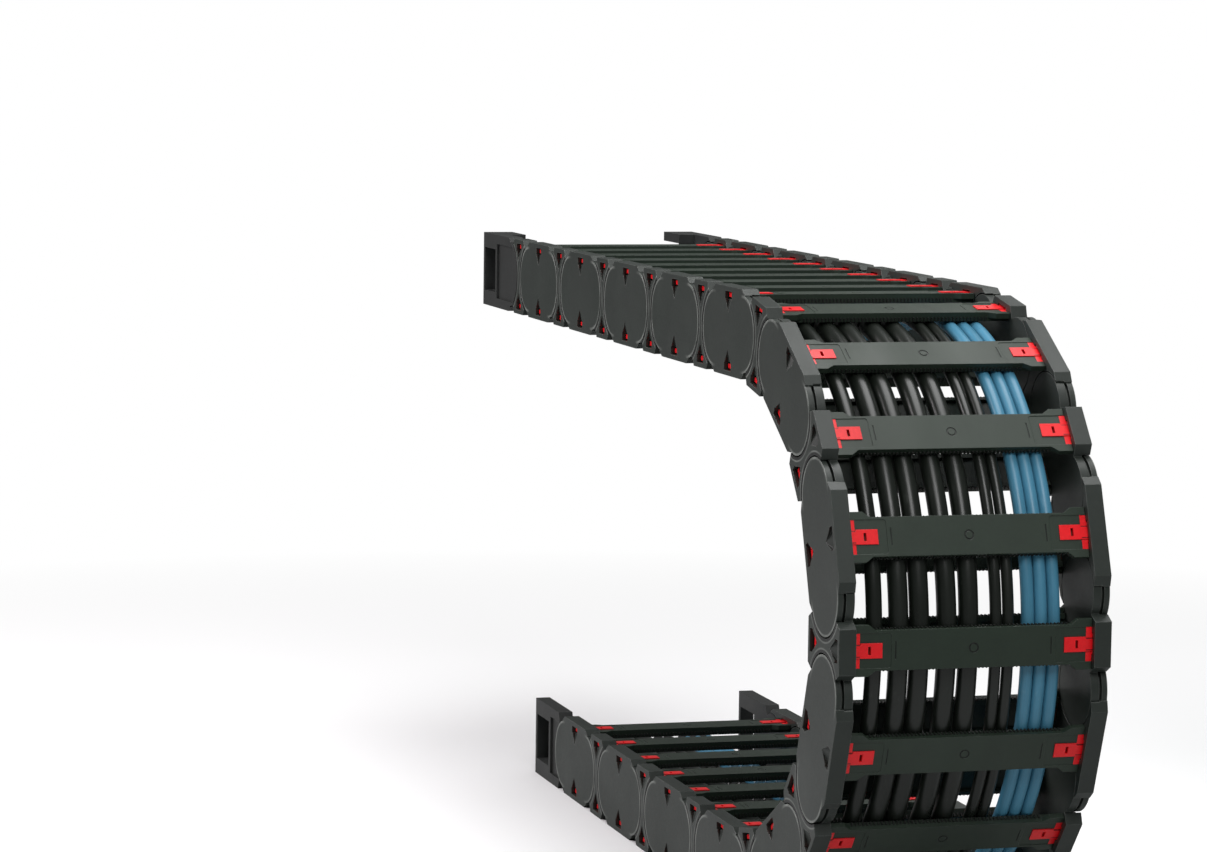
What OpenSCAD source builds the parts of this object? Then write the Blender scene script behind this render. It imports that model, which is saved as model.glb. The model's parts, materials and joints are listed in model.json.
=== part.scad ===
// Cable drag chain: two-part links with disc-shaped outer plates and waisted inner plates,
// removable crossbars held by red locks, end brackets with tie combs, and ten cables.
// X runs along the chain towards the bend, Y across it, Z up. The origin lies on the floor,
// in the middle of the fixed end's four bolt holes.

/* [Chain] */
// Distance between neighbouring pivots
pitch = 67; // [60:0.5:90]
// Width over the side plates
chain_w = 193; // [150:1:260]
// Number of straight links in the upper run
upper_links = 10; // [2:1:14]
// Number of links in the half circle of the bend
bend_links = 9; // [8:1:12]
// Number of straight links in the lower run
lower_links = 7; // [2:1:14]

/* [Side plates] */
// Height of a side plate
plate_h = 64; // [62:0.5:68]
// Thickness of a side plate
plate_t = 12; // [11:0.25:15]
// Radius of the round end of a plate
disc_r = 27.5; // [26:0.25:28]
// Thickness of an outer link's disc
disc_t = 4; // [3.5:0.1:4.5]
// Thickness of the smaller step behind an outer link's disc
step_t = 1.7; // [1:0.1:1.9]
// How far the step stands back from the disc's edge
step_back = 3; // [1:0.25:5]
// Gap between the sliding layers of two plates
layer_gap = 0.3; // [0.2:0.05:0.5]
// Gap round a disc, to the waist of the next link
disc_gap = 1; // [0.3:0.05:1.5]
// Gap left between two plates when they meet at the end of their travel
stop_gap = 0.3; // [0.2:0.05:1]
// Lean of an outer link's ears past its pivots, in degrees
ear_lean = 9; // [5:0.5:12]
// Height of the sloped shoulder at an outer link's corner
shoulder_h = 4; // [2:0.25:5]
// Length of the sloped shoulder at an outer link's corner
shoulder_l = 6.5; // [4:0.5:9]

/* [Pivots] */
// Radius of a pivot pin
pin_r = 11; // [8:0.25:13]
// Length of a pivot pin
pin_l = 2.9; // [2:0.1:3.2]
// Running clearance round a pin
pin_gap = 0.05; // [0.02:0.01:0.1]

/* [Lock windows] */
// Length of the window in a plate
window_l = 16; // [14.5:0.5:18]
// Height of the window
window_h = 6; // [5:0.25:6.5]
// Plate left between the window and the plate's edge
window_rim = 3.5; // [2.5:0.25:4]
// Length of the sloped funnel that leads into the window
funnel_l = 9.5; // [6:0.5:12]
// Depth of the funnel at the window
funnel_d = 3; // [2:0.25:4.5]
// How much narrower than the window the funnel is, on each side
funnel_side = 0.5; // [0.25:0.25:2]

/* [Crossbars] */
// Width of a crossbar's middle
bar_w = 27; // [25:0.5:30]
// Width of a crossbar's flared ends
flare_w = 34.5; // [32:0.5:38]
// Length of the flare's full width
flare_l = 10.5; // [8:0.5:14]
// Length of the flare's slope
flare_slope = 5; // [3:0.5:8]
// Depth of a crossbar's outer face below the plates' edges
bar_sink = 5; // [4:0.25:5.5]
// Thickness of a crossbar's deck
deck_t = 4; // [3.8:0.1:4.5]
// Height of the ribs under the deck
rib_h = 2.5; // [1.5:0.25:3]
// Width of a rib
rib_w = 3.4; // [2:0.2:5]
// Gap between a crossbar's ends and the side plates
bar_gap = 0.3; // [0.2:0.05:0.5]
// Width of the tongue that seats a crossbar on its side plates
tongue_w = 24; // [20:0.5:26]
// Length of the sunk panel at each end of a crossbar
panel_l = 26.5; // [24:0.5:32]
// Width of the sunk panel
panel_w = 23.5; // [22:0.5:24]
// Radius of the panel's corners
panel_corner = 2; // [1:0.25:4]
// Depth of the panel, the ejector ring and the groove
mark_d = 0.4; // [0.2:0.05:0.8]
// Outer radius of the ring in the middle of a crossbar
ring_r = 3.5; // [2.75:0.25:5]
// Inner radius of the ring
ring_in_r = 2.45; // [1:0.05:2.5]
// Distance from a crossbar's end to the short groove beside the panel
groove_at = 29; // [28:0.5:36]
// Length of the short groove
groove_l = 12; // [6:0.5:18]

/* [Locks] */
// Length of a lock's head, along the chain
lock_head_l = 23.4; // [20:0.2:23.6]
// Width of a lock's head
lock_head_w = 4.3; // [3:0.1:5.5]
// Length of a lock's stem, from the side plate
lock_stem_l = 20; // [16:0.5:23]
// Width of a lock's stem
lock_stem_w = 10.2; // [8:0.2:12]
// Thickness of a lock
lock_t = 3.3; // [2.6:0.1:3.5]
// How far a lock stands above its crossbar
lock_proud = 0.3; // [0:0.1:0.6]
// Step down to the two outer thirds of the head
lock_step = 0.6; // [0.2:0.1:1.2]
// Gap round a lock in its pocket
lock_gap = 0.1; // [0.05:0.05:0.2]
// Reach of the lock's tab into the window
tab_reach = 9; // [4:0.25:11]
// Gap at each side of the tab in its window
tab_gap = 1; // [0.5:0.25:2]
// Length of the slot for a screwdriver
lock_slot_l = 5.4; // [3:0.2:7]
// Width of the slot
lock_slot_w = 1.9; // [1:0.1:2.5]

/* [End brackets] */
// Thickness of a bracket's foot
foot_t = 8; // [6:0.5:9]
// Width of a bracket's foot
foot_w = 26; // [24:0.5:32]
// Distance from the pivot to the foot
foot_at = 44; // [42:0.5:46]
// Distance from the pivot to the first bolt hole
bolt_at = 54; // [53:0.5:58]
// Distance between the two bolt holes of a foot
bolt_step = 28; // [22:0.5:30]
// Bracket left past the last bolt hole
bolt_end = 10; // [8:0.5:30]
// Distance from the bracket's outer face to the bolt holes
bolt_in = 19; // [18.5:0.25:20]
// Radius of a bolt hole
bolt_r = 3.3; // [2.6:0.1:4.2]
// Width of the frame round a bracket's opening
frame_w = 5; // [3:0.5:8]
// Depth of the shallow recess in the bracket's outer face
recess_d = 2.2; // [1:0.1:2.4]
// Half height of the recess
recess_h = 24; // [20:0.5:25]
// Reach of the recess past the pivot, towards the chain
recess_fore = 12; // [4:0.5:16]

/* [Tie combs] */
// Thickness of a comb
comb_t = 3.5; // [2:0.1:3.8]
// Distance from the pivot to the comb's near edge
comb_at = 14; // [6:0.5:20]
// Distance between the comb's teeth
tooth_step = 14; // [12:0.5:20]
// Width of a tooth's neck
tooth_neck = 5; // [4:0.25:7]
// Width of a tooth's head
tooth_head = 9; // [8:0.25:11]
// Length of a tooth
tooth_l = 14; // [10:0.5:18]
// Length of a tooth's head
tooth_head_l = 4; // [2:0.25:6]

/* [Cables] */
// Diameter of the first thick cable
first_d = 11; // [8:0.25:13]
// Diameter of the other thick cables
thick_d = 13.5; // [9:0.25:14]
// Diameter of the thin cables
thin_d = 8; // [5:0.25:8.5]
// Diameter of the blue cables
blue_d = 9; // [5:0.25:9]
// Gap between the cables and what they lie on
cable_gap = 0.3; // [0.2:0.05:0.6]
// How far the cables stand out past the brackets
cable_out = 26; // [20:1:60]
// Length of the sealing cap on a cable's end
cap_l = 14; // [8:1:18]
// Wall of the sealing cap
cap_wall = 0.6; // [0.3:0.1:0.8]

/* [Hidden] */
$fn = 96;
links = upper_links + bend_links + lower_links;
bend_angle = 180 / bend_links;
half = pitch / 2;
bend_r = half / sin(bend_angle / 2);
// the bend's links stand a little nearer to its centre than their pivots do
bend_mid_r = bend_r * cos(bend_angle / 2);
bar_top = plate_h / 2 - bar_sink;
channel_h = bar_top - deck_t - rib_h;
inner_w = chain_w - 2 * plate_t;
waist_r = disc_r + disc_gap;
inner_at = disc_t + step_t + layer_gap;
corner_h = plate_h / 2 - shoulder_h;
ear_past = corner_h * tan(ear_lean);
// an inner link's ears stand this far back, to meet an outer link's at the end of the travel
stop_turn = bend_angle + ear_lean;
window_top = plate_h / 2 - window_rim;
window_low = window_top - window_h;
bracket_l = bolt_at + bolt_step + bolt_end;
fixed_pivot_x = bolt_at + bolt_step / 2;
bend_x = fixed_pivot_x + lower_links * pitch;
bend_z = bend_r + plate_h / 2;
// the cables leave the outer side of the bend this far round from its top
cable_turn = 60;
// where each cable lies across the chain
first_y = -65.5;
thick_y = [-48.5, -34, -14.5, 1];
thin_y = [19.5, 28.5];
blue_y = [42.5, 51.8, 61.1];
// enough to cut right through a face
over = 1;
// a cable's straight and bent stretches are solids of their own, this far apart
hairline = 0.05;

function two(i) = i < 10 ? str("0", i) : str(i);
function plates_name(i) = str("link_", two(i), "_side_plates");
function bars_name(i) = str("link_", two(i), "_crossbars");
function is_outer(i) = i % 2 == 1;
// how far from its pivot an inner link's ear ends, at a height h
function ear_back(h) = h * tan(stop_turn) + stop_gap / cos(stop_turn);
// a link's turn from the upper run's direction, counted from the fixed end
function turn(i) = i <= lower_links ? 180
    : i <= lower_links + bend_links ? 180 - bend_angle * (i - lower_links - 0.5)
    : 0;
function link_x(i) = i <= lower_links ? bend_x - (lower_links - i + 0.5) * pitch
    : i <= lower_links + bend_links ? bend_x + bend_mid_r * sin(turn(i))
    : bend_x - (i - lower_links - bend_links - 0.5) * pitch;
function link_z(i) = i <= lower_links ? bend_z - bend_r
    : i <= lower_links + bend_links ? bend_z + bend_mid_r * cos(turn(i))
    : bend_z + bend_r;

// ---- placing ----

module at_link(i) {
    translate([link_x(i), 0, link_z(i)])
        rotate([0, turn(i), 0])
            children();
}

// the frame of the fixed end's pivot: X leads away from the chain and Z to its outer side
module at_fixed_end() {
    translate([fixed_pivot_x, 0, bend_z - bend_r])
        rotate([0, 180, 0])
            children();
}

module at_moving_end() {
    translate([bend_x - upper_links * pitch, 0, bend_z + bend_r])
        mirror([1, 0, 0])
            children();
}

// a flat shape in X and Z, from depth y0 to depth y1
module slab(y0, y1) {
    translate([0, y1, 0])
        rotate([90, 0, 0])
            linear_extrude(y1 - y0)
                children();
}

// a piece drawn from the chain's outer face inwards, on both sides
module both_sides() {
    for (side = [0, 1])
        mirror([0, side, 0])
            translate([0, -chain_w / 2, 0])
                children();
}

module above_and_below() {
    children();
    mirror([0, 0, 1])
        children();
}

// ---- side plates ----

// the ears of an outer link reach a little past its pivots
module outer_ears() {
    corner = half + ear_past;
    flat = corner - shoulder_l;
    polygon([
        [-flat, plate_h / 2], [flat, plate_h / 2], [corner, corner_h], [half, 0], [corner, -corner_h],
        [flat, -plate_h / 2], [-flat, -plate_h / 2], [-corner, -corner_h], [-half, 0], [-corner, corner_h]
    ]);
}

module inner_ears() {
    end = half - ear_back(plate_h / 2);
    middle = half - ear_back(0);
    polygon([
        [-end, plate_h / 2], [end, plate_h / 2], [middle, 0],
        [end, -plate_h / 2], [-end, -plate_h / 2], [-middle, 0]
    ]);
}

// the two round ends of a plate
module discs(r) {
    for (x = [-half, half])
        translate([x, 0])
            circle(r);
}

// a plate's ears, cut round for the neighbouring links' discs
module waist() {
    difference() {
        children();
        discs(waist_r);
    }
}

// the opening for a lock, with a sloped funnel that leads into it from the plate's middle
module lock_window() {
    slope = atan(funnel_d / funnel_l);
    run = funnel_l / cos(slope);
    // the funnel runs on a little into the window
    past = 1 + funnel_side / (2 * run);
    side = (window_l / 2 - funnel_side) * past;
    translate([-window_l / 2, -over, window_low])
        cube([window_l, plate_t + 2 * over, window_h]);
    translate([0, 0, window_low - funnel_l])
        rotate([-slope, 0, 0])
            slab(-funnel_d - over, 0)
                polygon([[0, 0], [side, run * past], [-side, run * past]]);
}

module pivot_bore() {
    slab(disc_t + step_t - pin_l, disc_t + step_t + layer_gap / 2)
        circle(pin_r + pin_gap);
}

module pivot_pin() {
    slab(inner_at - pin_l, inner_at + over)
        circle(pin_r);
}

module outer_plate() {
    difference() {
        union() {
            slab(0, disc_t)
                discs(disc_r);
            slab(0, disc_t + step_t) {
                discs(disc_r - step_back);
                outer_ears();
            }
            slab(0, plate_t)
                waist()
                    outer_ears();
        }
        for (x = [-half, half])
            translate([x, 0, 0])
                pivot_bore();
        above_and_below()
            lock_window();
    }
}

module inner_plate() {
    difference() {
        union() {
            slab(inner_at, plate_t) {
                discs(disc_r);
                inner_ears();
            }
            slab(0, plate_t)
                waist()
                    inner_ears();
            for (x = [-half, half])
                translate([x, 0, 0])
                    pivot_pin();
        }
        above_and_below()
            lock_window();
    }
}

module link_side_plates(i) {
    color("#4a4c4b")
        at_link(i)
            both_sides()
                if (is_outer(i)) outer_plate();
                else inner_plate();
}

// ---- crossbars and locks ----

// the two ends of a crossbar, drawn from the side plate's inner face towards the middle
module both_ends() {
    for (side = [0, 1])
        mirror([0, side, 0])
            translate([0, -inner_w / 2, 0])
                children();
}

module lock_outline(grow) {
    translate([-lock_head_l / 2 - grow, -grow])
        square([lock_head_l + 2 * grow, lock_head_w + 2 * grow]);
    translate([-lock_stem_w / 2 - grow, 0])
        square([lock_stem_w + 2 * grow, lock_stem_l + grow]);
}

module panel_shape() {
    for (x = [-1, 1])
        translate([x * (panel_w / 2 - panel_corner), panel_l - panel_corner])
            circle(panel_corner);
    translate([-panel_w / 2, 0])
        square([panel_w, panel_l - panel_corner]);
    translate([panel_corner - panel_w / 2, 0])
        square([panel_w - 2 * panel_corner, panel_l]);
}

module crossbar_end() {
    translate([0, 0, bar_top - deck_t])
        linear_extrude(deck_t)
            polygon([
                [-flare_w / 2, bar_gap], [flare_w / 2, bar_gap], [flare_w / 2, flare_l],
                [bar_w / 2, flare_l + flare_slope], [-bar_w / 2, flare_l + flare_slope],
                [-flare_w / 2, flare_l]
            ]);
    translate([-tongue_w / 2, 0, bar_top - deck_t])
        cube([tongue_w, bar_gap + over, deck_t]);
}

module crossbar() {
    span = inner_w - 2 * bar_gap;
    lock_low = bar_top + lock_proud - lock_t;
    difference() {
        union() {
            translate([-bar_w / 2, -span / 2, bar_top - deck_t])
                cube([bar_w, span, deck_t]);
            for (side = [-1, 1])
                translate([side * (bar_w - rib_w) / 2 - rib_w / 2, -span / 2, channel_h])
                    cube([rib_w, span, rib_h]);
            both_ends()
                crossbar_end();
        }
        both_ends() {
            translate([0, 0, bar_top - mark_d])
                linear_extrude(mark_d + over)
                    panel_shape();
            translate([0, 0, lock_low - lock_gap])
                linear_extrude(lock_t + over)
                    lock_outline(lock_gap);
            translate([-groove_l / 2, groove_at, bar_top - mark_d])
                cube([groove_l, 2 * mark_d, mark_d + over]);
        }
        translate([0, 0, bar_top - mark_d])
            difference() {
                cylinder(r = ring_r, h = mark_d + over);
                translate([0, 0, -over])
                    cylinder(r = ring_in_r, h = mark_d + 3 * over);
            }
    }
}

module lock() {
    low = bar_top + lock_proud - lock_t;
    third = lock_head_l / 3;
    difference() {
        union() {
            translate([0, 0, low])
                linear_extrude(lock_t)
                    lock_outline(0);
            translate([tab_gap - window_l / 2, -tab_reach, low])
                cube([window_l - 2 * tab_gap, tab_reach + over, lock_t]);
        }
        for (side = [-1, 1])
            translate([side * third - third / 2 + side * over, -over / 2, bar_top + lock_proud - lock_step])
                cube([third + over, lock_head_w + over, lock_step + over]);
        translate([-lock_slot_l / 2, lock_stem_l / 2, low - over])
            cube([lock_slot_l, lock_slot_w, lock_t + 2 * over]);
    }
}

module link_crossbars(i) {
    at_link(i)
        above_and_below() {
            color("#3c443e")
                crossbar();
            color("#f0242a")
                both_ends()
                    lock();
        }
}

// ---- end brackets ----

// a bracket's side plates: X leads away from the pivot
module outer_bracket_shape() {
    polygon([
        [0, 0], [-ear_past, corner_h], [shoulder_l - ear_past, plate_h / 2], [bracket_l, plate_h / 2],
        [bracket_l, -plate_h / 2], [shoulder_l - ear_past, -plate_h / 2], [-ear_past, -corner_h]
    ]);
}

module inner_bracket_shape() {
    polygon([
        [ear_back(0), 0], [ear_back(plate_h / 2), plate_h / 2], [bracket_l, plate_h / 2],
        [bracket_l, -plate_h / 2], [ear_back(plate_h / 2), -plate_h / 2]
    ]);
}

module bracket_body() {
    slab(0, plate_t)
        difference() {
            children();
            circle(waist_r);
        }
    translate([foot_at, 0, plate_h / 2 - foot_t])
        cube([bracket_l - foot_at, foot_w, foot_t]);
}

module bracket_cuts() {
    opening_h = plate_h / 2 - foot_t;
    slab(-over, recess_d)
        translate([-recess_fore, -recess_h])
            square([foot_at + recess_fore, 2 * recess_h]);
    slab(-over, plate_t + over)
        translate([foot_at + frame_w, frame_w - opening_h])
            square([bracket_l - foot_at - 2 * frame_w, 2 * (opening_h - frame_w)]);
    for (n = [0, 1])
        translate([bolt_at + n * bolt_step, bolt_in, 0])
            cylinder(r = bolt_r, h = plate_h);
}

// takes the pins of an inner link
module outer_bracket() {
    difference() {
        union() {
            bracket_body()
                outer_bracket_shape();
            slab(0, disc_t + step_t) {
                circle(disc_r);
                outer_bracket_shape();
            }
        }
        bracket_cuts();
        pivot_bore();
    }
}

// carries the pins for an outer link
module inner_bracket() {
    difference() {
        union() {
            bracket_body()
                inner_bracket_shape();
            slab(inner_at, plate_t) {
                circle(disc_r);
                inner_bracket_shape();
            }
            pivot_pin();
        }
        bracket_cuts();
    }
}

module fixed_end_brackets() {
    color("#3f4140")
        at_fixed_end()
            both_sides()
                inner_bracket();
}

module moving_end_brackets() {
    color("#3f4140")
        at_moving_end()
            both_sides()
                outer_bracket();
}

// ---- tie combs ----

module tie_comb(low) {
    teeth = floor((inner_w / 2 - foot_w + plate_t - tooth_head / 2) / tooth_step);
    neck_l = tooth_l - tooth_head_l;
    translate([comb_at, -inner_w / 2, low])
        cube([foot_at - comb_at, inner_w, comb_t]);
    for (n = [-teeth:teeth])
        translate([foot_at, n * tooth_step, low]) {
            translate([-over, -tooth_neck / 2, 0])
                cube([neck_l + 2 * over, tooth_neck, comb_t]);
            translate([neck_l, -tooth_head / 2, 0])
                cube([tooth_l - neck_l, tooth_head, comb_t]);
        }
}

// on the lower run the comb is just under the cables
module fixed_end_tie_comb() {
    color("#3f4140")
        at_fixed_end()
            tie_comb(bend_mid_r + channel_h - bend_r);
}

module moving_end_tie_comb() {
    color("#3f4140")
        at_moving_end()
            tie_comb(-channel_h - comb_t);
}

// ---- cables ----

// a round bar along X, from x0 to x1 in either direction
module rod(x0, x1, z, r) {
    translate([x0, 0, z])
        rotate([0, x1 > x0 ? 90 : -90, 0])
            cylinder(r = r, h = abs(x1 - x0));
}

// part of a ring round Y, from the angle start, counted from the top, over the angle sweep
module arc(centre_x, centre_z, ring, start, sweep, r) {
    translate([centre_x, 0, centre_z])
        rotate([90, 0, 0])
            rotate([0, 0, 90 - start - sweep])
                rotate_extrude(angle = sweep)
                    translate([ring, 0])
                        circle(r);
}

// lies on the inner bars of the upper run, and on the outer bars from the bend on
module cable(y, d) {
    r = d / 2;
    outer_r = bend_mid_r + channel_h - cable_gap - r;
    upper_z = bend_r - channel_h + cable_gap + r;
    inner_r = (upper_z - outer_r * cos(cable_turn)) / (1 - cos(cable_turn));
    shift_x = (outer_r - inner_r) * sin(cable_turn);
    shift_z = (outer_r - inner_r) * cos(cable_turn);
    hair_turn = atan(hairline / inner_r);
    upper_end = -upper_links * pitch - bracket_l - cable_out;
    lower_end = -lower_links * pitch - bracket_l - cable_out;
    translate([bend_x, y, bend_z]) {
        rod(shift_x - hairline, upper_end, upper_z, r);
        arc(shift_x, shift_z, inner_r, 0, cable_turn - hair_turn, r);
        arc(0, 0, outer_r, cable_turn, 180 - cable_turn, r);
        rod(lower_end, -hairline, -outer_r, r);
        rod(upper_end + cap_l, upper_end - cap_wall, upper_z, r + cap_wall);
        rod(lower_end - cap_wall, lower_end + cap_l, -outer_r, r + cap_wall);
    }
}

module thick_black_cables() {
    color("#232423") {
        cable(first_y, first_d);
        for (y = thick_y)
            cable(y, thick_d);
    }
}

module thin_black_cables() {
    color("#232423")
        for (y = thin_y)
            cable(y, thin_d);
}

module blue_cables() {
    color("#4a87b5")
        for (y = blue_y)
            cable(y, blue_d);
}

for (i = [1:links])
    link_side_plates(i);
for (i = [1:links])
    link_crossbars(i);
fixed_end_brackets();
fixed_end_tie_comb();
moving_end_brackets();
moving_end_tie_comb();
thick_black_cables();
thin_black_cables();
blue_cables();
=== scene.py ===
import json
import math

import bpy
import numpy as np
from mathutils import Matrix, Vector


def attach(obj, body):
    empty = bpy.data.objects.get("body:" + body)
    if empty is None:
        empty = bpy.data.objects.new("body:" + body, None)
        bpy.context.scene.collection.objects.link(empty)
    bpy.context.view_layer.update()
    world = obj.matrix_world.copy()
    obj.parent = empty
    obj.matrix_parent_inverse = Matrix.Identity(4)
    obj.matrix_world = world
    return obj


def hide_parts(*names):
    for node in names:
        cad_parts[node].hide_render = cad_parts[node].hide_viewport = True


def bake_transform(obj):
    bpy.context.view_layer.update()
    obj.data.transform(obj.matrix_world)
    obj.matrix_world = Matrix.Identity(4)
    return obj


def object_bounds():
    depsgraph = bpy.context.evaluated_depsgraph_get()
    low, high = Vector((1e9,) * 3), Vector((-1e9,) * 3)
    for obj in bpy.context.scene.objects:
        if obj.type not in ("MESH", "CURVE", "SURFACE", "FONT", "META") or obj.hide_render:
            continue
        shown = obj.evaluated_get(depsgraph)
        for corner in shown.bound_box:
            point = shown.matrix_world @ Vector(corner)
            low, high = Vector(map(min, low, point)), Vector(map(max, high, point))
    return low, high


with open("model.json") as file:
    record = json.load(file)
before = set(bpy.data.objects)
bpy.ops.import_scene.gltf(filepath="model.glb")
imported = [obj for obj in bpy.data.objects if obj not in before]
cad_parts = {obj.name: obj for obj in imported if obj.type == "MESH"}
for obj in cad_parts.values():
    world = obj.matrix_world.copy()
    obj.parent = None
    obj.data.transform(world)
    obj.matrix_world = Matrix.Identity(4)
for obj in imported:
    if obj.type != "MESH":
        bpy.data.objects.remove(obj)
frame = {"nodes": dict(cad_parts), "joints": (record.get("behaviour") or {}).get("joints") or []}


def corners(b):
    return [[float(x) for x in p] for p in b]


cad_box = corners(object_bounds())
joints = {j["name"]: j for j in frame["joints"]}

# ---- sizes that part.scad gives the chain, in metres ----
PITCH = 0.067
CHAIN_W = 0.193
PLATE_T = 0.012
DISC_R = 0.0275
INNER_W = CHAIN_W - 2 * PLATE_T
BAR_W = 0.027
BAR_TOP = 0.027
DECK_T = 0.004
RIB_H = 0.0025
FLARE_L = 0.0105
FLARE_SLOPE = 0.005
PANEL_L = 0.0265
MARK_D = 0.0004
LOCK_HEAD_W = 0.0043
LOCK_THIRD = 0.0078
BRACKET_L = 0.092
CABLE_GAP = 0.0003
CABLE_OUT = 0.026
CAP_L = 0.014
CAP_WALL = 0.0006
UPPER, BEND, LOWER = 10, 9, 7
LINKS = UPPER + BEND + LOWER
CHANNEL = BAR_TOP - DECK_T - RIB_H
# each cable's place across the chain, its diameter, and how far it wanders to either side
BLACK = [(-0.0655, 0.011, 0.0012), (-0.0485, 0.0135, 0.0004), (-0.034, 0.0135, 0.0004),
         (-0.0145, 0.0135, 0.0008), (0.001, 0.0135, 0.0008), (0.0195, 0.008, 0.0004),
         (0.0285, 0.008, 0.0004)]
BLUE = [(y, 0.009, 0.0001) for y in (0.0425, 0.0518, 0.0611)]

# ---- sizes that only this script has ----
# the painted highlight on a disc's rim and the painted highlight line round a waist: where each
# starts, is full, fades and ends, as distances from the disc's edge
RIM = (-0.0020, -0.0012, 0.0001, 0.0006)
WAIST_LINE = (0.0030, 0.0034, 0.0040, 0.0046)
# the painted shade round a waist is full out to the first distance from the disc's edge and gone at
# the second
WAIST_DARK = (0.0026, 0.0036)
# the rims' painted highlight comes up from a little inside each pivot to a little past it
RIM_PAST = (-0.004, 0.006)
# a spot this near the chain's sides is on an outer face
FACE_DEPTH = 0.0004
# a spot this near the height of a groove's floor is on it, if it lies well inside the panels
FLOOR_NEAR = 0.0001
PANEL_CLEAR = 0.0005
# how far from its middle a lock seam's painted shade is full and gone
SEAM = (0.00025, 0.0005)
# the cables: points on a path, how far from a link's middle its cut is looked for, the rings'
# distance, the sides of a tube, and the offset that keeps two cables' textures apart
LOWER_POINTS, BEND_POINTS, SINK_POINTS, REST_POINTS = 96, 110, 50, 90
CUT_REACH = PITCH * 0.8
RING_STEP = 0.0072
THICK_CABLE = 0.01
THICK_SIDES, THIN_SIDES = 28, 22
UV_STEP = 3.7
# the waves of a cable's drift: share of its room, and how fast each turns in radians a metre
WAVES = ((0.55, 7.3), (0.3, 15.1), (0.15, 29))
# a sealing cap's rings: how far each lies inside the cable's end, and its share of the width
CAP_AT = (-CAP_WALL, -CAP_WALL * 0.4, 0.0008, 0.004, CAP_L * 0.8, CAP_L)
CAP_WIDE = (0.72, 0.93, 1.0, 1.0, 0.99, 0.97)
# the teeth: how far apart, how wide, how far out of the bar and into it; the slope beside a
# tip, the tip's share of the width, what stays free at a row's ends, and from where to where
TOOTH_STEP, TOOTH_W, TOOTH_OUT, TOOTH_SUNK = 0.0027, 0.0014, 0.0010, 0.0004
TOOTH_BEVEL, TOOTH_TIP, TOOTH_SPARE = 0.0004, 0.45, 0.001
TOOTH_HEIGHTS = (CHANNEL + 0.0004, BAR_TOP - DECK_T + 0.0006)
FLOOR_HALF = 30
FLOOR_DROP = 0.0002
FADE = (0.55, 1.7)


# ---- the links' places, from the pivots ----
def pivot(i):
    return Vector(joints["pivot_%02d" % i]["pos_m"])


P = {i: pivot(i) for i in range(1, LINKS)}
P[0] = P[1] * 2 - P[2]
P[LINKS] = P[LINKS - 1] * 2 - P[LINKS - 2]


def body(i):
    return "root" if i == 1 else "link_%02d" % i


def link_frame(i):
    """A matrix from link i's own frame to the row frame: X along the chain, Z to its outer side."""
    x = (P[i - 1] - P[i]).normalized()
    y = Vector((0, 1, 0))
    z = x.cross(y)
    c = (P[i - 1] + P[i]) / 2
    c.y = 0
    m = Matrix((x, y, z)).transposed().to_4x4()
    m.translation = c
    return m


# ---- camera, as solved from the photograph's perspective ----
cam_data = bpy.data.cameras.new("camera")
cam = bpy.data.objects.new("camera", cam_data)
bpy.context.scene.collection.objects.link(cam)
right = Vector((0.26853, 0.96318, 0.01283)).normalized()
back = Vector((0.95805, -0.26844, 0.10035))
back = (back - right * back.dot(right)).normalized()
up = back.cross(right)
m = Matrix((right, up, back)).transposed().to_4x4()
m.translation = Vector((3.2057, -0.9450, 0.6339))
cam.matrix_world = m
cam_data.lens = 118.41
cam_data.sensor_width = 36
cam_data.sensor_fit = "HORIZONTAL"
cam_data.clip_start = 0.05
cam_data.clip_end = 60
bpy.context.scene.camera = cam
bpy.context.scene.view_settings.view_transform = "Standard"

# ---- world and lamps: the camera sees white, and the object gets a faint fill ----
world = bpy.data.worlds.new("studio")
bpy.context.scene.world = world
world.use_nodes = True
nt = world.node_tree
nt.nodes.clear()
out = nt.nodes.new("ShaderNodeOutputWorld")
seen = nt.nodes.new("ShaderNodeBackground")
seen.inputs["Color"].default_value = (1, 1, 1, 1)
seen.inputs["Strength"].default_value = 1.0
fill = nt.nodes.new("ShaderNodeBackground")
fill.inputs["Color"].default_value = (0.97, 1.0, 0.99, 1)
fill.inputs["Strength"].default_value = 0.13
path = nt.nodes.new("ShaderNodeLightPath")
mix = nt.nodes.new("ShaderNodeMixShader")
nt.links.new(path.outputs["Is Camera Ray"], mix.inputs["Fac"])
nt.links.new(fill.outputs[0], mix.inputs[1])
nt.links.new(seen.outputs[0], mix.inputs[2])
nt.links.new(mix.outputs[0], out.inputs["Surface"])


def area(name, place, target, size, watts, colour=(1, 1, 1)):
    data = bpy.data.lights.new(name, "AREA")
    data.shape = "RECTANGLE"
    data.size, data.size_y = size
    data.energy = watts
    data.color = colour
    lamp = bpy.data.objects.new(name, data)
    bpy.context.scene.collection.objects.link(lamp)
    lamp.location = place
    lamp.rotation_euler = (Vector(target) - Vector(place)).to_track_quat("-Z", "Y").to_euler()


mid = (Vector(cad_box[0]) + Vector(cad_box[1])) / 2
area("key", (-0.3, -2.1, 1.5), mid, (1.6, 1.0), 54, (1.0, 0.93, 0.96))
area("top", (0.5, 0.3, 2.4), mid, (2.0, 1.4), 44)
area("front", (2.2, -0.2, 1.8), mid, (1.0, 1.0), 22)
area("rim", (-1.4, 1.6, 1.3), mid, (1.4, 1.0), 7)


# ---- material tools ----
def scaled(colour, k):
    return [c * k for c in colour]


def is_socket(value):
    return hasattr(value, "links")


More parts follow.
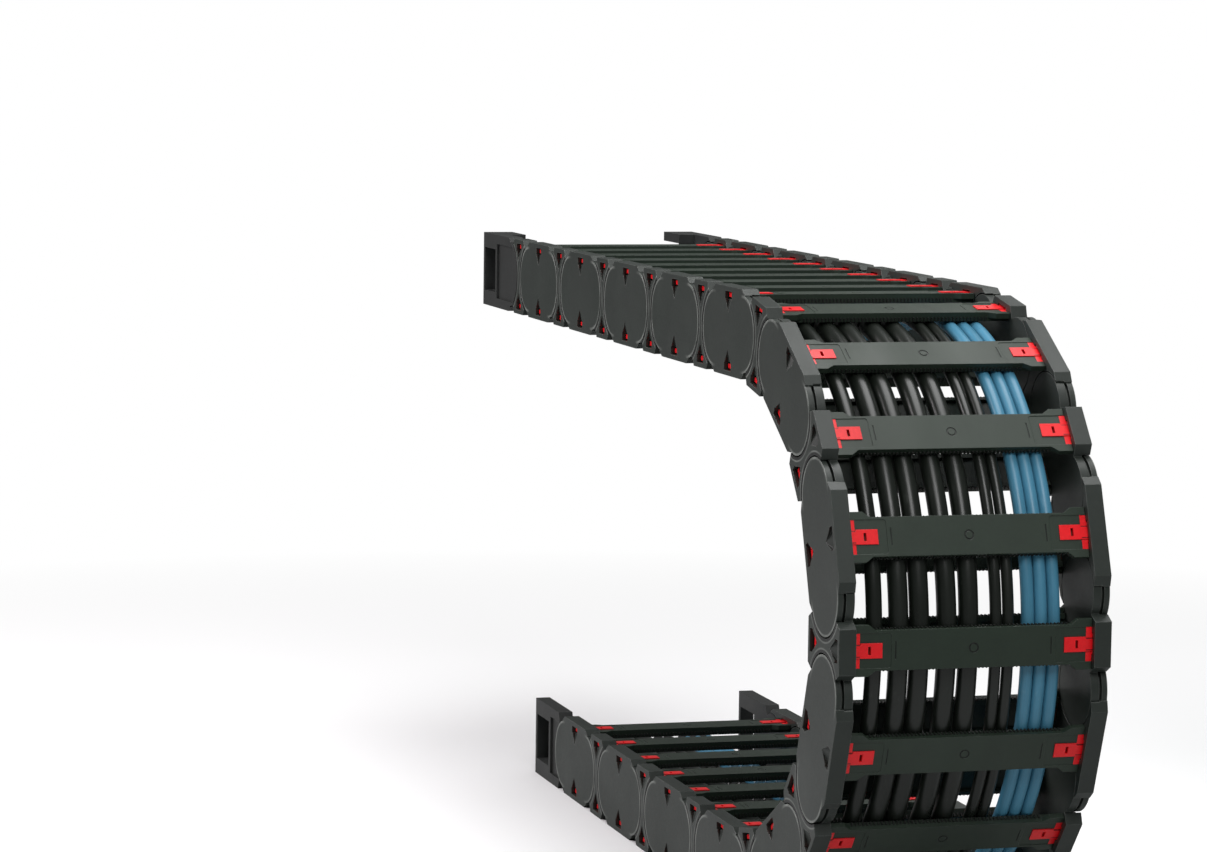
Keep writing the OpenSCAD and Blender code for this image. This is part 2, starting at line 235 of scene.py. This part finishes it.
class Tree:
    """A material's node tree, with short calls for what is used here."""

    def __init__(self, name, rough):
        self.mat = bpy.data.materials.new(name)
        self.mat.use_nodes = True
        self.t = self.mat.node_tree
        self.t.nodes.clear()
        self.out = self.add("ShaderNodeOutputMaterial")
        self.p = self.add("ShaderNodeBsdfPrincipled")
        self.p.inputs["Roughness"].default_value = rough
        self.p.inputs["IOR"].default_value = 1.46
        self.link(self.p.outputs[0], self.out.inputs["Surface"])
        self.co = self.add("ShaderNodeTexCoord").outputs["Object"]

    def add(self, kind, **values):
        n = self.t.nodes.new(kind)
        for k, v in values.items():
            setattr(n, k, v)
        return n

    def link(self, a, b):
        self.t.links.new(a, b)

    def put(self, value, socket):
        """Links a node's output to a socket, or sets the socket to a plain value."""
        if is_socket(value):
            self.link(value, socket)
        else:
            socket.default_value = value

    def uv(self, name):
        return self.add("ShaderNodeUVMap", uv_map=name).outputs[0]

    def split(self, vector):
        n = self.add("ShaderNodeSeparateXYZ")
        self.link(vector, n.inputs[0])
        return n.outputs

    def noise(self, scale, detail, rough, stretch=None):
        n = self.add("ShaderNodeTexNoise")
        n.inputs["Scale"].default_value = scale
        n.inputs["Detail"].default_value = detail
        n.inputs["Roughness"].default_value = rough
        source = self.co
        if stretch:
            m = self.add("ShaderNodeMapping")
            m.inputs["Scale"].default_value = stretch
            self.link(self.co, m.inputs["Vector"])
            source = m.outputs[0]
        self.link(source, n.inputs["Vector"])
        return n.outputs["Fac"]

    def ramp(self, value, low, high, a=0.0, b=1.0):
        """Goes from a to b as the value goes from low to high, and stays there."""
        n = self.add("ShaderNodeMapRange")
        n.clamp = True
        for k, v in zip(("From Min", "From Max", "To Min", "To Max"), (low, high, a, b)):
            n.inputs[k].default_value = v
        self.link(value, n.inputs["Value"])
        return n.outputs[0]

    def band(self, value, start, full, fade, end):
        """Is 1 from full to fade, and runs down to 0 at start and end."""
        return self.product(self.ramp(value, start, full), self.ramp(value, end, fade))

    def maths(self, op, a, b=0.0):
        n = self.add("ShaderNodeMath", operation=op)
        self.put(a, n.inputs[0])
        self.put(b, n.inputs[1])
        return n.outputs[0]

    def product(self, first, *others):
        for other in others:
            first = self.maths("MULTIPLY", first, other)
        return first

    def size_of(self, value):
        return self.maths("ABSOLUTE", value)

    def off_middle(self):
        """How far a spot lies from the chain's middle plane."""
        return self.size_of(self.split(self.co)["Y"])

    def mix(self, fac, a, b):
        """Goes from colour a to colour b; each is a socket or three numbers."""
        n = self.add("ShaderNodeMix", data_type="RGBA")
        self.link(fac, n.inputs[0])
        for k, v in ((6, a), (7, b)):
            self.put(v if is_socket(v) else (*v, 1), n.inputs[k])
        return n.outputs[2]

    def bump(self, height, distance, strength, normal=None):
        n = self.add("ShaderNodeBump")
        n.inputs["Distance"].default_value = distance
        n.inputs["Strength"].default_value = strength
        self.link(height, n.inputs["Height"])
        if normal is not None:
            self.link(normal, n.inputs["Normal"])
        return n.outputs[0]

    def edges(self, radius):
        """A mask of the edges and the rounded normal, which leans away from the true one there."""
        b = self.add("ShaderNodeBevel", samples=4)
        b.inputs["Radius"].default_value = radius
        g = self.add("ShaderNodeNewGeometry")
        d = self.add("ShaderNodeVectorMath", operation="DOT_PRODUCT")
        self.link(b.outputs[0], d.inputs[0])
        self.link(g.outputs["True Normal"], d.inputs[1])
        return self.ramp(d.outputs["Value"], 0.995, 0.8), b.outputs[0]


def lin(hexa):
    v = [int(hexa[i:i + 2], 16) / 255 for i in (1, 3, 5)]
    return tuple(x / 12.92 if x <= 0.04045 else ((x + 0.055) / 1.055) ** 2.4 for x in v)


# ---- painted highlights and painted shade: each takes the colour so far and gives it back with its own drawn in ----
def disc_place(t):
    """Where a spot of a plate is.

    Gives how far past the nearest pivot it lies along the link, its distance from that pivot,
    a mask of the outer faces, and patches that break up the painted highlights.
    """
    place = t.split(t.uv("link"))
    u = t.maths("SUBTRACT", t.size_of(place["X"]), PITCH / 2)
    v = place["Y"]
    r = t.maths("SQRT", t.maths("ADD", t.product(u, u), t.product(v, v)))
    face = t.maths("GREATER_THAN", t.off_middle(), CHAIN_W / 2 - FACE_DEPTH)
    return u, r, face, t.ramp(t.noise(60, 3, 0.6), 0.35, 0.6, 0.35, 1.0)


def disc_rim_highlights(t, colour, base, worn_and_highlight):
    """The painted highlight on the rim of each outer link's rounded ends."""
    u, r, face, patchy = disc_place(t)
    light = t.band(r, *[DISC_R + x for x in RIM])
    light = t.product(light, t.ramp(u, *RIM_PAST), face, patchy)
    return t.mix(t.product(light, 0.6), colour, worn_and_highlight)


def waist_shade_and_highlight(t, colour, base, worn_and_highlight):
    """The painted shade on an inner link's waist bevel, and the painted highlight line outside it.
    """
    _, r, face, patchy = disc_place(t)
    dark = t.product(t.ramp(r, DISC_R + WAIST_DARK[1], DISC_R + WAIST_DARK[0]), face)
    line = t.product(t.band(r, *[DISC_R + x for x in WAIST_LINE]), face, patchy)
    colour = t.mix(t.product(dark, 0.9), colour, scaled(base, 0.1))
    return t.mix(t.product(line, 0.5), colour, worn_and_highlight)


def groove_shade(t, colour, base, worn_and_highlight):
    """Painted shade on the floor of a crossbar's ring and short grooves."""
    height = t.size_of(t.split(t.uv("link"))["Y"])
    off_floor = t.size_of(t.maths("SUBTRACT", height, BAR_TOP - MARK_D))
    middle = t.maths("LESS_THAN", t.off_middle(), INNER_W / 2 - PANEL_L - PANEL_CLEAR)
    floor_mask = t.product(t.maths("LESS_THAN", off_floor, FLOOR_NEAR), middle)
    return t.mix(t.product(floor_mask, 0.85), colour, scaled(base, 0.12))


def lock_seam_shade(t, colour, base, worn_and_highlight):
    """Painted shade in the seams between the three blocks of a lock's head."""
    along = t.size_of(t.split(t.uv("link"))["X"])
    off_seam = t.size_of(t.maths("SUBTRACT", along, LOCK_THIRD / 2))
    head = t.maths("GREATER_THAN", t.off_middle(), INNER_W / 2 - LOCK_HEAD_W)
    seam = t.product(t.ramp(off_seam, SEAM[1], SEAM[0]), head)
    return t.mix(t.product(seam, 0.85), colour, scaled(base, 0.08))


# ---- materials ----
def moulded(name, base, worn_and_highlight, rough, rub_and_highlight_strength, grain=0.00003, radius=0.0005, painted_light_marks=None):
    """Glass-filled polyamide: fine spark-eroded grain, faint flow clouds, rubbed edges lightened
    partly as a painted highlight, grime and painted shade in hollows.
    """
    t = Tree(name, rough)
    clouds = t.noise(22, 4, 0.6)
    flow = t.noise(9, 3, 0.5, stretch=(1, 3.5, 1))
    fine = t.noise(2600, 2, 0.6)
    mottle = t.noise(420, 3, 0.6)
    mask, round_normal = t.edges(radius)
    # the edges are lighter: partly rubbed wear, partly a painted highlight along them
    rub_and_edge_highlight = t.product(mask, t.ramp(t.noise(140, 4, 0.7), 0.38, 0.68, 0.25, 1.0))
    colour = t.mix(t.ramp(clouds, 0.3, 0.7), scaled(base, 0.86), scaled(base, 1.14))
    colour = t.mix(t.ramp(mottle, 0.45, 0.75, 0, 0.35), colour, scaled(base, 1.35))
    colour = t.mix(t.product(rub_and_edge_highlight, rub_and_highlight_strength), colour, worn_and_highlight)
    # grime and painted shade, darker in grooves and inner corners
    ao = t.add("ShaderNodeAmbientOcclusion", samples=4)
    ao.inputs["Distance"].default_value = 0.0016
    hollow = t.ramp(ao.outputs["AO"], 0.75, 0.3)
    colour = t.mix(t.product(hollow, 0.8), colour, scaled(base, 0.12))
    # painted highlights and painted shade drawn on top
    if painted_light_marks:
        colour = painted_light_marks(t, colour, base, worn_and_highlight)
    t.link(colour, t.p.inputs["Base Color"])
    r = t.ramp(t.maths("ADD", flow, t.product(mottle, 0.4)), 0.45, 0.95,
               rough - 0.07, rough + 0.09)
    r = t.maths("SUBTRACT", r, t.product(rub_and_edge_highlight, 0.08))
    t.link(r, t.p.inputs["Roughness"])
    n = t.bump(fine, grain, 1.0, round_normal)
    n = t.bump(flow, 0.0004, 0.25, n)
    t.link(n, t.p.inputs["Normal"])
    return t.mat


def sheath(name, base, dust, rough, streak=0.3):
    """A cable's sheath: soft satin, drawn streaks along it, scuffs and a little dust."""
    t = Tree(name, rough)
    t.co = t.uv("UVMap")
    streaks = t.noise(1, 3, 0.6, stretch=(26, 3.0, 1))
    patches = t.noise(1, 4, 0.6, stretch=(2.2, 16, 1))
    fine = t.noise(1, 2, 0.6, stretch=(60, 900, 1))
    scuff = t.ramp(t.noise(1, 5, 0.75, stretch=(7, 60, 1)), 0.6, 0.74)
    colour = t.mix(t.ramp(patches, 0.3, 0.7), scaled(base, 0.85), scaled(base, 1.15))
    colour = t.mix(t.ramp(streaks, 0.4, 0.7, 0, streak), colour, scaled(base, 1.3))
    colour = t.mix(t.product(scuff, 0.22), colour, dust)
    t.link(colour, t.p.inputs["Base Color"])
    t.link(t.ramp(t.maths("ADD", patches, t.product(scuff, 0.3)), 0.3, 1.0,
                  rough - 0.06, rough + 0.14), t.p.inputs["Roughness"])
    n = t.bump(streaks, 0.00012, 0.5)
    n = t.bump(fine, 0.00002, 0.6, n)
    t.link(n, t.p.inputs["Normal"])
    return t.mat


mat_outer = moulded("outer_plates", lin("#252b27"), lin("#8f948f"), 0.46, 0.6, radius=0.0008,
                    painted_light_marks=disc_rim_highlights)
mat_inner = moulded("inner_plates", lin("#252b27"), lin("#8f948f"), 0.46, 0.6, radius=0.0008,
                    painted_light_marks=waist_shade_and_highlight)
mat_bar = moulded("crossbars", lin("#212d23"), lin("#66746a"), 0.46, 0.4, grain=0.00002,
                  painted_light_marks=groove_shade)
mat_lock = moulded("locks", lin("#e4121c"), lin("#ff6a63"), 0.36, 0.3, grain=0.00001,
                   radius=0.0003, painted_light_marks=lock_seam_shade)
mat_bracket = moulded("brackets", lin("#252726"), lin("#767a76"), 0.5, 0.4)
mat_teeth = moulded("comb_teeth", lin("#191c19"), lin("#4a504a"), 0.5, 0.3, radius=0.0002)
mat_black = sheath("black_sheath", lin("#171b17"), lin("#565b55"), 0.32)
mat_blue = sheath("blue_sheath", lin("#457f9a"), lin("#93b6cc"), 0.38)
mat_cap = sheath("sealing_cap", lin("#161716"), lin("#4c4e4b"), 0.5, streak=0.15)


# ---- the CAD nodes' finish ----
def places(mesh):
    co = np.zeros(len(mesh.vertices) * 3)
    mesh.vertices.foreach_get("co", co)
    return co.reshape(-1, 3)


def loose_parts(mesh):
    """Each face's connected part, joining corners that lie at the same place."""
    key = np.round(places(mesh) * 1e6).astype(np.int64)
    _, same = np.unique(key, axis=0, return_inverse=True)
    same = same.reshape(-1)
    root = np.arange(same.max() + 1)

    def find(a):
        while root[a] != a:
            root[a] = root[root[a]]
            a = root[a]
        return a

    faces = [[same[v] for v in p.vertices] for p in mesh.polygons]
    for f in faces:
        a = find(f[0])
        for v in f[1:]:
            b = find(v)
            if a != b:
                root[b] = a
    return np.array([find(f[0]) for f in faces])


def colour_locks(mesh):
    """Gives a crossbars' node its two materials: a solid that doesn't span the chain is a lock."""
    mesh.materials.append(mat_bar)
    mesh.materials.append(mat_lock)
    part, co = loose_parts(mesh), places(mesh)
    index = np.zeros(len(mesh.polygons), np.int32)
    for p in set(part.tolist()):
        faces = np.nonzero(part == p)[0]
        vs = [v for f in faces for v in mesh.polygons[f].vertices]
        if np.ptp(co[vs, 1]) < INNER_W / 2:
            index[faces] = 1
    mesh.polygons.foreach_set("material_index", index)


def link_map(mesh, i):
    """A UV map with each corner's place in link i: how far along the chain, and how far out."""
    inv = np.array(link_frame(i).inverted())
    at = places(mesh) @ inv[:3, :3].T + inv[:3, 3]
    corner = np.zeros(len(mesh.loops), np.int32)
    mesh.loops.foreach_get("vertex_index", corner)
    layer = mesh.uv_layers.new(name="link")
    layer.data.foreach_set("uv", at[corner][:, [0, 2]].astype(np.float32).ravel())


for name, o in frame["nodes"].items():
    if "cables" in name:
        continue
    mesh = o.data
    mesh.materials.clear()
    if name.endswith("crossbars"):
        colour_locks(mesh)
        link_map(mesh, int(name.split("_")[1]))
    elif name.endswith("side_plates"):
        number = int(name.split("_")[1])
        mesh.materials.append(mat_outer if number % 2 else mat_inner)
        link_map(mesh, number)
    else:
        mesh.materials.append(mat_bracket)


# ---- meshes ----
def new_object(name, verts, faces, mats):
    mesh = bpy.data.meshes.new(name)
    mesh.from_pydata([tuple(v) for v in verts], [], faces)
    for mt in mats:
        mesh.materials.append(mt)
    mesh.update()
    o = bpy.data.objects.new(name, mesh)
    bpy.context.scene.collection.objects.link(o)
    return o


class Bundle:
    """Collects closed tubes into one mesh."""

    def __init__(self):
        self.v, self.f, self.uv, self.i = [], [], [], []

    def tube(self, q, u, d, run, sides, mat, u0):
        """A tube along the points q and directions u, with diameters d, and run along its map."""
        base = len(self.v)
        for ring in tube_rows(q, u, d, sides):
            self.v.extend(ring.tolist())
        for k in range(len(q) - 1):
            for j in range(sides):
                a = base + k * sides + j
                b = base + k * sides + (j + 1) % sides
                self.f.append((b, a, a + sides, b + sides))
                self.uv += [((j + 1) / sides + u0, run[k]), (j / sides + u0, run[k]),
                            (j / sides + u0, run[k + 1]), ((j + 1) / sides + u0, run[k + 1])]
                self.i.append(mat)
        for k in (0, len(q) - 1):
            ring = [base + k * sides + j for j in range(sides)]
            self.f.append(tuple(ring[::-1] if k else ring))
            self.uv += [(0.5 + u0, run[k])] * sides
            self.i.append(mat)

    def make(self, name, mats):
        o = new_object(name, self.v, self.f, mats)
        o.data.polygons.foreach_set("material_index", self.i)
        o.data.polygons.foreach_set("use_smooth", [True] * len(self.f))
        layer = o.data.uv_layers.new(name="UVMap")
        for corner, uv in enumerate(self.uv):
            layer.data[corner].uv = uv
        o.data.update()
        return o


def tube_rows(q, u, d, sides):
    """Rings round the points q, square to the directions u."""
    across = np.array([0.0, 1.0, 0.0])
    ang = np.linspace(0, 2 * math.pi, sides, endpoint=False)
    rings = []
    for k in range(len(q)):
        n = np.cross(u[k], across)
        rings.append(q[k] + d[k] / 2 * (np.cos(ang)[:, None] * across + np.sin(ang)[:, None] * n))
    return rings


# ---- cables ----
bend_mid_r = PITCH / 2 / math.tan(math.radians(90 / BEND))
bend_r = PITCH / 2 / math.sin(math.radians(90 / BEND))
bend_x = P[LOWER].x
bend_z = P[LOWER].z + bend_r


def cable_path(y, d):
    """Points along a cable and its directions there, from the fixed end, and the lengths so far.

    It lies on the outer bars up to the bend's top, and sinks onto the upper run's inner bars
    in a slow S that starts with the bend's own curvature, as a stiff cable does.
    """
    r = d / 2
    ro = bend_mid_r + CHANNEL - CABLE_GAP - r
    zu = bend_r - CHANNEL + CABLE_GAP + r
    sink = ro - zu
    length = math.sqrt(6 * sink * ro)
    lower = -LOWER * PITCH - BRACKET_L - CABLE_OUT
    upper = -UPPER * PITCH - BRACKET_L - CABLE_OUT
    pts = [(x, -ro) for x in np.linspace(lower, 0, LOWER_POINTS)[:-1]]
    pts += [(ro * math.sin(a), ro * math.cos(a))
            for a in np.linspace(math.pi, 0, BEND_POINTS)[:-1]]
    pts += [(-length * k, ro - sink * (3 - 2 * k) * k * k)
            for k in np.linspace(0, 1, SINK_POINTS)[:-1]]
    pts += [(x, zu) for x in np.linspace(-length, upper, REST_POINTS)]
    pts = np.array(pts)
    p = np.stack([pts[:, 0] + bend_x, np.full(len(pts), y), pts[:, 1] + bend_z], 1)
    t = np.gradient(p, axis=0)
    t /= np.linalg.norm(t, axis=1)[:, None]
    s = np.concatenate([[0], np.cumsum(np.linalg.norm(np.diff(p, axis=0), axis=1))])
    return p, t, s


def resample(p, t, s, cuts):
    """The path in stretches from cut to cut, each with even steps along it."""
    out = []
    for a, b in zip(cuts[:-1], cuts[1:]):
        n = max(2, int(round((b - a) / RING_STEP)))
        row = np.linspace(a, b, n + 1)
        q = np.stack([np.interp(row, s, p[:, k]) for k in range(3)], 1)
        u = np.stack([np.interp(row, s, t[:, k]) for k in range(3)], 1)
        u /= np.linalg.norm(u, axis=1)[:, None]
        out.append((row, q, u))
    return out


def cut_lengths(p, s):
    """How far along the path each link's middle lies."""
    cuts = []
    for i in range(1, LINKS + 1):
        f = link_frame(i)
        n = np.array(f.col[0][:3])
        c = np.array(f.translation)
        side = (p - c) @ n
        near = np.linalg.norm((p - c)[:, [0, 2]], axis=1) < CUT_REACH
        for k in range(len(p) - 1):
            if near[k] and side[k] * side[k + 1] <= 0 and side[k] != side[k + 1]:
                cuts.append(s[k] + (s[k + 1] - s[k]) * side[k] / (side[k] - side[k + 1]))
                break
    return cuts


def wander(s, seed, room):
    """A slow drift across the chain, as cables laid by hand have it."""
    r = np.random.RandomState(seed)
    phases = r.uniform(0, 6.28, 3)
    rates = r.uniform(0.8, 1.2, 3)
    return room * sum(share * np.sin(s * turn * rate + phase)
                      for (share, turn), rate, phase in zip(WAVES, rates, phases))


def lay_cables(kind, cables, mat, nodes, first_seed):
    """Each stretch runs from one link's middle to the next, and only the end stretches move with a
    body; the ends have caps.
    """
    bundles = [Bundle() for _ in range(LINKS + 1)]
    for n, (y, d, room) in enumerate(cables):
        p, t, s = cable_path(y, d)
        cuts = cut_lengths(p, s)
        assert len(cuts) == LINKS, (kind, y, len(cuts))
        stretches = resample(p, t, s, [0.0] + cuts + [float(s[-1])])
        sides = THICK_SIDES if d > THICK_CABLE else THIN_SIDES
        for k, (row, q, u) in enumerate(stretches):
            q = q.copy()
            q[:, 1] += wander(row, first_seed + n, room)
            bundles[k].tube(q, u, np.full(len(q), d), row, sides, 0, n * UV_STEP)
        for k, at, flip in ((0, 0, 1), (LINKS, -1, -1)):
            row, q, u = stretches[k]
            inwards = u[at] * flip
            rows = np.array(CAP_AT)
            q2 = np.array([q[at] + inwards * x for x in rows])
            q2[:, 1] = q[at][1] + wander(row[[at]], first_seed + n, room)
            width = np.array(CAP_WIDE) * (d + 2 * CAP_WALL)
            u2 = np.array([inwards] * len(rows))
            bundles[k].tube(q2, u2, width, rows, sides, 1, n * UV_STEP)
    for k, b in enumerate(bundles):
        o = b.make("%s_cables_%02d" % (kind, k), [mat, mat_cap])
        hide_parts(*nodes)
        if k == 0:
            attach(o, "root")
        elif k == LINKS:
            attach(o, body(LINKS))
        else:
            a, c = link_frame(k).translation, link_frame(k + 1).translation
            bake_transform(o)


lay_cables("black", BLACK, mat_black,
           ["thick_black_cables", "thin_black_cables"], 0)
lay_cables("blue", BLUE, mat_blue, ["blue_cables"], len(BLACK))


# ---- the fine teeth along the crossbars' long edges, where separators snap on ----
def teeth(i):
    v, f = [], []
    f0 = link_frame(i)
    count = int((INNER_W / 2 - FLARE_L - FLARE_SLOPE - TOOTH_SPARE) / TOOTH_STEP)
    x0, x1 = BAR_W / 2 - TOOTH_SUNK, BAR_W / 2 + TOOTH_OUT
    h = TOOTH_W / 2
    for top in (1, -1):
        for side in (1, -1):
            turn = side * top > 0
            for y in [n * TOOTH_STEP for n in range(-count, count + 1)]:
                b = len(v)
                outline = [(x0, y - h), (x1 - TOOTH_BEVEL, y - h), (x1, y - h * TOOTH_TIP),
                           (x1, y + h * TOOTH_TIP), (x1 - TOOTH_BEVEL, y + h), (x0, y + h)]
                for z in TOOTH_HEIGHTS:
                    for x, yy in outline:
                        v.append(f0 @ Vector((side * x, yy, top * z)))
                k = len(outline)
                low = [b + j for j in range(k)]
                high = [b + k + j for j in range(k)]
                f.append(tuple(low[::-1] if turn else low))
                f.append(tuple(high if turn else high[::-1]))
                for j in range(k):
                    q = (low[j], low[(j + 1) % k], high[(j + 1) % k], high[j])
                    f.append(q if turn else q[::-1])
    o = new_object("link_%02d_teeth" % i, v, f, [mat_teeth])
    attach(o, body(i))


for i in range(1, LINKS + 1):
    teeth(i)

# ---- floor: pale to the camera, darker to other rays, and white where it runs off ----
floor = new_object("floor", [(x * FLOOR_HALF, y * FLOOR_HALF, 0)
                             for x, y in ((-1, -1), (1, -1), (1, 1), (-1, 1))],
                   [(0, 1, 2, 3)], [])
t = Tree("floor", 0.7)
to_camera = t.add("ShaderNodeLightPath").outputs["Is Camera Ray"]
t.link(t.mix(to_camera, (0.42, 0.43, 0.43), (0.86, 0.87, 0.87)), t.p.inputs["Base Color"])
t.p.inputs["Specular IOR Level"].default_value = 0.2
glow = t.add("ShaderNodeEmission")
glow.inputs["Color"].default_value = (1, 1, 1, 1)
far = t.add("ShaderNodeVectorMath", operation="DISTANCE")
t.link(t.co, far.inputs[0])
far.inputs[1].default_value = (mid.x, mid.y, 0)
both = t.product(t.ramp(far.outputs["Value"], *FADE), to_camera)
mx = t.add("ShaderNodeMixShader")
t.link(both, mx.inputs["Fac"])
t.link(t.p.outputs[0], mx.inputs[1])
t.link(glow.outputs[0], mx.inputs[2])
t.link(mx.outputs[0], t.out.inputs["Surface"])
floor.data.materials.append(t.mat)
floor.location.z = cad_box[0][2] - FLOOR_DROP
